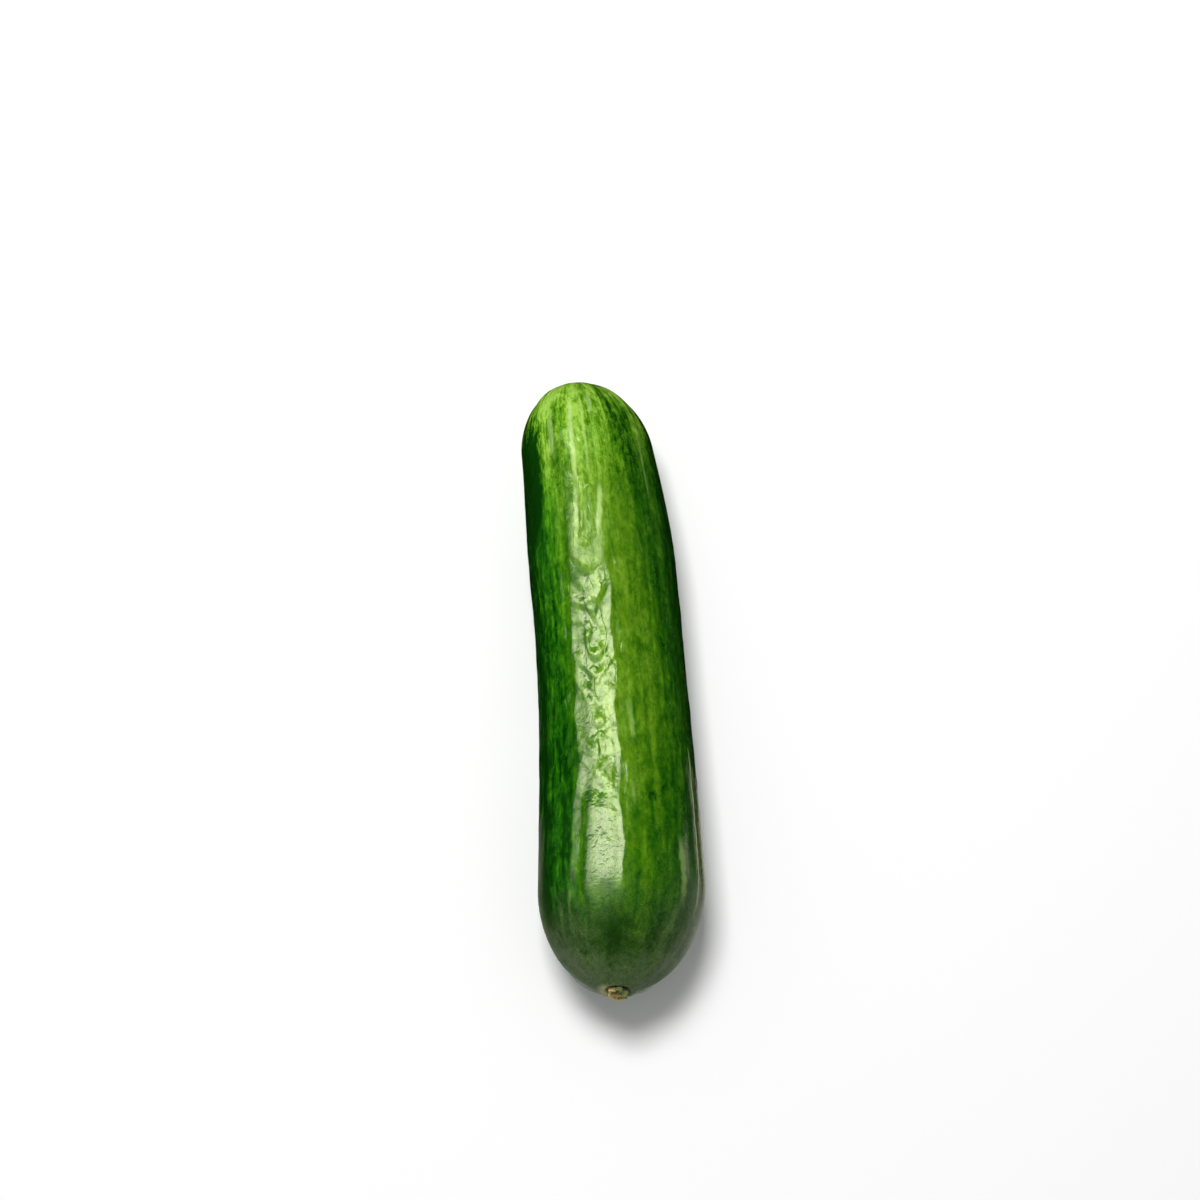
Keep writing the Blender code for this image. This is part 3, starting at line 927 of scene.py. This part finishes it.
def skin_tone(graph, veins, place, fine, mark_tone):
    """The skin's tone: its arch, whose fall down the flanks is painted shade, and its areas, one a painted
    shadow;
    stripes, streaks, threads and mottles along the veins; and painted shade from the fine relief.
    """
    # painted shade: the arch's fall darkens the tone down both flanks
    fall, fall_gain = ARCH_SHADE_FALL
    off = place.side - ARCH_SIDE
    tone = ARCH_TONE - (fall + fall_gain * place.side) * off * off
    for change, spans in TONE_AREAS:
        tone = tone + change * area(place, **spans)
    left = place.side.inside(*LEFT_FLANK)
    tip = place.distance.inside(*BLOSSOM_END)
    base, gain = BLOSSOM_TONE
    tone = tone + tip * (base + gain * place.side) * place.side.inside(*BLOSSOM_SIDE)
    for grain, weight, left_weight, tip_weight in TONE_LAYERS:
        layer = graph.noise(veins, *grain) - 0.5
        tone = tone + layer * (left * left_weight + (tip * tip_weight + weight))
    # painted shade from the fine relief
    return tone + fine * RELIEF_SHADE + mark_tone


def pale_share(place):
    """How much of the pale colours shows: towards the blossom end, more on the left but less in the painted
    shadow down its left edge, and on the belly.
    """
    base, gain = PALE_SHARE
    share = place.distance.inside(*PALE_REACH) * (base + gain * place.side)
    # less pale in the painted shadow down the left edge of the blossom end
    share = share * (1.0 - LESS_PALE_CUT * area(place, **LESS_PALE))
    return (share + place.up.inside(*BELLY) * BELLY_PALE).at_most(MOST_PALE)


def frost_and_reflection_share(graph, veins, near, place, bloom):
    """How frosty the bloom is: at the tip, and on the flanks, where the frost is also a painted reflection of
    the floor; with clouds, dapples and pale threads.
    """
    clouds = graph.grain("clouds", near).inside(*CLOUDS)
    frost_and_reflection = 0.0
    for amount, more, spans in FROST_AND_REFLECTION_AREAS:
        frost_and_reflection = frost_and_reflection + area(place, **spans) * (clouds * more + amount)
    rays = graph.grain("rays", veins)
    frost_and_reflection = frost_and_reflection.at_most(1.0) * rays.over(*RAY_GAIN)
    frost_and_reflection = frost_and_reflection + bloom * place.side.inside(*LEFT_RAY_SIDE) * rays.inside(*LEFT_RAYS) * LEFT_RAY_FROST
    frost_and_reflection = frost_and_reflection + bloom * (graph.grain("dapples", near) - DAPPLE_MEAN) * DAPPLE_FROST
    return (frost_and_reflection * FROST_AND_REFLECTION_SHARE).at_least(0.0)


def skin_height(graph, veins, place):
    """The skin's finest relief in mm: crinkles, leathery grain, creases, threads and pores."""
    distance = place.distance
    height = (graph.grain("crinkles", veins) - 0.5) * distance.over(*CRINKLE_HEIGHT)
    height = height + (graph.grain("leather", veins) - 0.5) * distance.over(*LEATHER_HEIGHT)
    creases = abs(graph.grain("creases", veins) - 0.5).inside(CREASE_WIDTH, 0.0)
    creases = creases * graph.grain("creased places", veins).inside(*CREASED)
    height = height * distance.over(*BLOSSOM_CALM) - creases * distance.over(*CREASE_DEPTH)
    height = height * (place.side.inside(*CALM_SIDES) * (1.0 - CALM_HEIGHT) + CALM_HEIGHT)
    height = height + (graph.grain("threads", veins) - 0.5) * distance.over(*THREAD_HEIGHT)
    return distance.inside(*SMOOTH_TIPS) * height + (graph.grain("pores", veins) - 0.5) * PORE_HEIGHT


def skin_material():
    material, graph, shader = make_material("green_skin")
    veins = graph.attribute("veins")
    rho, fine, _ = graph.attribute("form").parts()
    streaks, mark_tone, _ = graph.attribute("marks").parts()
    side, distance, up = graph.scaled(veins, 1 / MIDDLE_RADIUS, 1.0, 1 / MIDDLE_RADIUS).parts()
    # The veins run together towards the tips, where patterns that don't follow them need the true place
    narrowing = rho / MIDDLE_RADIUS
    near = graph.vector_math("MULTIPLY", veins, graph.vector(narrowing, 1.0, narrowing))
    patch = graph.grain("patches", near) - 0.5
    place = Place(side, up, distance, patch)

    tone = skin_tone(graph, veins, place, fine, mark_tone)
    colour = graph.colour(tone, SKIN_COLOURS)
    colour = graph.blend(pale_share(place), colour, graph.colour(tone, PALE_COLOURS))
    colour = graph.blend(area(place, **PURE_AREA), colour, PURE_TINT, "MULTIPLY")
    # pale streaks, partly the skin's own and partly painted highlights and reflections
    colour = graph.blend(streaks * STREAK_SHARE, colour, STREAK_COLOUR)
    # rows of tiny pale specks: painted glints
    specks = graph.grain("specks", veins).inside(*SPECKS)
    specks = specks * graph.grain("rows of specks", veins).inside(*SPECK_ROWS)
    colour = graph.blend(specks * SPECK_SHARE, colour, GLINT_COLOUR)

    # The waxy bloom: dull green and frosty, its frost on the flanks also a painted reflection of the floor,
    # with a darker patch on top, and gritty
    bloom = area(place, **BLOOM_AREA)
    colour = graph.blend(bloom * BLOOM_SHARE, colour, BLOOM_COLOUR)
    colour = graph.blend(frost_and_reflection_share(graph, veins, near, place, bloom), colour, FROST_AND_REFLECTION_COLOUR)
    dark_along, dark_across = DARK_PATCH
    dark = (distance + patch * DARK_PATCH_RAGGED).inside(*dark_along) * (side + patch).inside(*dark_across)
    colour = graph.blend(dark * DARK_PATCH_SHARE, colour, DARK_COLOUR)
    grit = graph.colour(graph.grain("grit", near), GRIT_TINTS)
    colour = graph.blend(distance.inside(*GRIT_REACH), colour, grit, "MULTIPLY")

    # The corky collar, wider and corkier on the left, the socket's floor, and the scar
    stem_side = distance.below(SKIN_LENGTH / 2.0)
    grain = graph.grain("cork", veins)
    start, crest, end = COLLAR_SPAN
    collar = rho.inside(start, crest, end - COLLAR_LEAN * side) * stem_side
    collar = collar * (grain - COLLAR_CORK_LEAN * side).inside(*COLLAR_CORK)
    height, weight = COLLAR_MIDDLE
    collar = collar * (-side - weight * abs(up - height)).over(*COLLAR_LEFT)
    colour = graph.blend(collar * CORK_SHARE, colour, COLLAR_COLOUR)
    socket_floor = (rho + (grain - 0.5) * SOCKET_RAGGED).inside(*SOCKET_FLOOR) * stem_side
    colour = graph.blend(socket_floor, colour, SOCKET_COLOUR)
    scar = (rho + (grain - 0.5) * SCAR_RAGGED).inside(*SCAR_CORK) * (1.0 - stem_side)
    colour = graph.blend(scar, colour, graph.colour(grain, CORK_COLOURS))
    cork = collar + scar

    normal = graph.bumped(skin_height(graph, veins, place) + cork * (grain - 0.5) * CORK_HEIGHT)
    base, gain = ROUGHNESS
    rough = graph.grain("gloss", veins) * gain + base + bloom * BLOOM_ROUGHNESS
    rough = (rough + cork.at_most(1.0) * CORK_ROUGHNESS).at_most(MOST_ROUGH)
    looks = {"Base Color": colour, "Normal": normal, "IOR": SKIN_IOR}
    graph.feed(shader, {"Roughness": rough, **looks})

    # The skin is duller towards both ends and along the left: a second shader takes its share there
    looks.update({"Roughness": rough + DULL_ROUGHNESS, "Specular IOR Level": DULL_SPECULAR})
    dull = graph.node("ShaderNodeBsdfPrincipled", {}, looks)
    share = sum(amount * area(place, **spans) for amount, spans in DULL_AREAS)
    mix_in(graph, share.at_most(1.0), shader, dull)
    return material


def stalk_material():
    material, graph, shader = make_material("dry_stalk")
    fibres = graph.attribute("fibres")
    wall, inner, pores = graph.attribute("form").parts()
    strands = graph.grain("stub strands", fibres)
    blotches = graph.grain("stub blotches", fibres)
    tone = strands * STRAND_TONE + blotches * BLOTCH_TONE + STALK_TONE
    tone = tone + wall.inside(*TORN_TIPS) * inner.inside(*TORN_INSIDE) * TORN_TONE
    # painted shade, darker down into the hollow and in its pores
    tone = tone + inner.over(*HOLLOW_SHADE) + pores.over(*PORE_SHADE) * inner
    colour = graph.colour(tone, STALK_COLOURS)
    # The upper right of the stub is still green, grown into the skin
    side, up, _ = graph.attribute("round").parts()
    green = (side * GREEN_TURN + up * GREEN_TURN + (blotches - 0.5) * GREEN_RAGGED).inside(*GREEN_EDGE)
    colour = graph.blend(green * GREEN_SHARE, colour, graph.colour(strands, GREEN_STALK_COLOURS))
    looks = {"Base Color": colour, "Normal": graph.bumped(strands * STRAND_HEIGHT)}
    graph.feed(shader, {"Roughness": STALK_ROUGHNESS, **looks})
    return material


def build_floor():
    mesh = bpy.data.meshes.new("studio_floor")
    half = FLOOR_HALF
    corners = [(-half, -half, 0.0), (half, -half, 0.0), (half, half, 0.0), (-half, half, 0.0)]
    mesh.from_pydata(corners, [], [(0, 1, 2, 3)])
    material, graph, shader = make_material("white_paper")
    graph.feed(shader, {"Base Color": FLOOR_COLOUR, "Roughness": 1.0, "Specular IOR Level": 0.0})
    mesh.materials.append(material)
    floor = put("studio_floor", mesh)
    floor.visible_glossy = False  # what the skin mirrors of the floor comes from the room's lower half


def area_light(name, place, facing, size, radiance, use):
    """A softbox, or an oval card that only the gloss shows, with its second width along the fruit."""
    data = bpy.data.lights.new(name, "AREA")
    data.shape = "ELLIPSE" if use == "gloss" else "RECTANGLE"
    data.size, data.size_y = size
    data.energy = radiance * math.pi * size[0] * size[1]
    if use == "gloss":
        data.energy *= math.pi / 4.0
        data.color = SOFTBOX_TINT
    light = bpy.data.objects.new(name, data)
    back = -Vector(facing).normalized()
    right = Vector((0.0, 1.0, 0.0)).cross(back).normalized()
    turned = Matrix((right, back.cross(right), back)).transposed().to_4x4()
    light.matrix_world = Matrix.Translation(Vector(place)) @ turned
    light.visible_glossy = use == "gloss"
    light.visible_diffuse = use == "diffuse"
    light.visible_camera = False
    bpy.context.collection.objects.link(light)


def build_room():
    """The room's even light, and the softbox and the floor that the gloss mirrors."""
    world = bpy.data.worlds.new("studio")
    world.use_nodes = True
    bpy.context.scene.world = world
    graph = Graph(world.node_tree)
    path = graph.node("ShaderNodeLightPath", output="Is Camera Ray")
    gloss = path.other("Is Glossy Ray")
    across, back, rise = graph.node("ShaderNodeTexCoord", output="Generated").parts()
    tilt = across / rise.at_least(LOWEST_RISE)
    softbox = tilt.inside(*SOFTBOX_SIDES) * rise.inside(*SOFTBOX_FOOT)
    softbox = softbox * (back + abs(tilt - SOFTBOX_MIDDLE) * SOFTBOX_TAPER).inside(*SOFTBOX_BACK)
    level, core_level = SOFTBOX_LEVELS
    level = back.inside(*SOFTBOX_FRONT) * level + back.inside(*SOFTBOX_CORE) * core_level
    softbox = softbox * level * tilt.over(*SOFTBOX_WARMTH)
    front = (back - FLOOR_SKEW * across).inside(*FLOOR_FRONT)
    floor = FLOOR_GLOSS * front * rise.inside(*FLOOR_RISE) + RIM_GLOSS * rise.inside(*RIM_RISE)
    mirrored = graph.vector(*(softbox * part + floor for part in SOFTBOX_TINT))
    even = path * (1.0 - ROOM_DIFFUSE) + ROOM_DIFFUSE
    light = graph.blend(gloss, graph.vector(even, even, even), mirrored)
    graph.feed(world.node_tree.nodes["Background"], {"Color": light})


def build_camera(middle):
    """Looks down at the fruit from the photo's side, and puts its middle where the photo has it."""
    data = bpy.data.cameras.new("camera")
    data.sensor_width = SENSOR_MM
    focal_px = SCALE_PX_PER_M * CAMERA_DISTANCE
    data.lens = focal_px / FRAME_PX * SENSOR_MM
    camera = bpy.data.objects.new("camera", data)
    lean, level = CAMERA_LEAN, math.cos(CAMERA_ELEVATION)
    away = Vector((-level * math.sin(lean), -level * math.cos(lean), math.sin(CAMERA_ELEVATION)))
    right = Vector((math.cos(lean), -math.sin(lean), 0.0))
    up = away.cross(right)
    off_x = PLACE_PX[0] - FRAME_PX / 2
    off_y = FRAME_PX / 2 - PLACE_PX[1]
    back = (away * focal_px + right * off_x + up * off_y).normalized()
    right = up.cross(back).normalized()
    up = back.cross(right)
    turned = Matrix((right, up, back)).transposed().to_4x4()
    camera.matrix_world = Matrix.Translation(middle + away * CAMERA_DISTANCE) @ turned
    bpy.context.collection.objects.link(camera)
    bpy.context.scene.camera = camera


def build_skin():
    """The skin in its place. Returns where its stem tip's middle lies on the line between the tips."""
    fruit_low, fruit_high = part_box("fruit")
    sizes = {"Points around": POINTS_AROUND, "Rows": ROWS, "Fold height": FOLD_HEIGHT}
    graph, shape = skin_tree(sizes)
    skin = grow("cucumber_skin", graph, sizes, shape, skin_material(), Matrix.Scale(MM, 4))
    xs = [vertex.co.x for vertex in skin.data.vertices]
    ys = [vertex.co.y for vertex in skin.data.vertices]
    shift = Vector(((fruit_low.x + fruit_high.x - min(xs) - max(xs)) / 2.0, fruit_low.y - min(ys), 0.0))
    skin.data.transform(Matrix.Translation(shift))
    skin.data.shade_smooth()
    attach(skin, "root")
    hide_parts("fruit")
    return shift


def build_stub(shift):
    sizes = {"Points around": STUB_POINTS, "Rows": STUB_ROWS}
    graph, shape = stub_tree(sizes)
    place = Matrix.Translation(shift) @ Matrix.Scale(MM, 4)
    stub = grow("torn_stalk", graph, sizes, shape, stalk_material(), place)
    stub.data.shade_smooth()
    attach(stub, "root")
    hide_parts("stem_stub")


def main():
    shift = build_skin()
    build_stub(shift)
    build_floor()
    for light in LIGHTS:
        area_light(*light)
    build_room()
    build_camera(Vector((shift.x, shift.y + SKIN_LENGTH / 2.0 * MM, MIDDLE_HEIGHT)))
    bpy.context.scene.view_settings.view_transform = "Standard"


main()
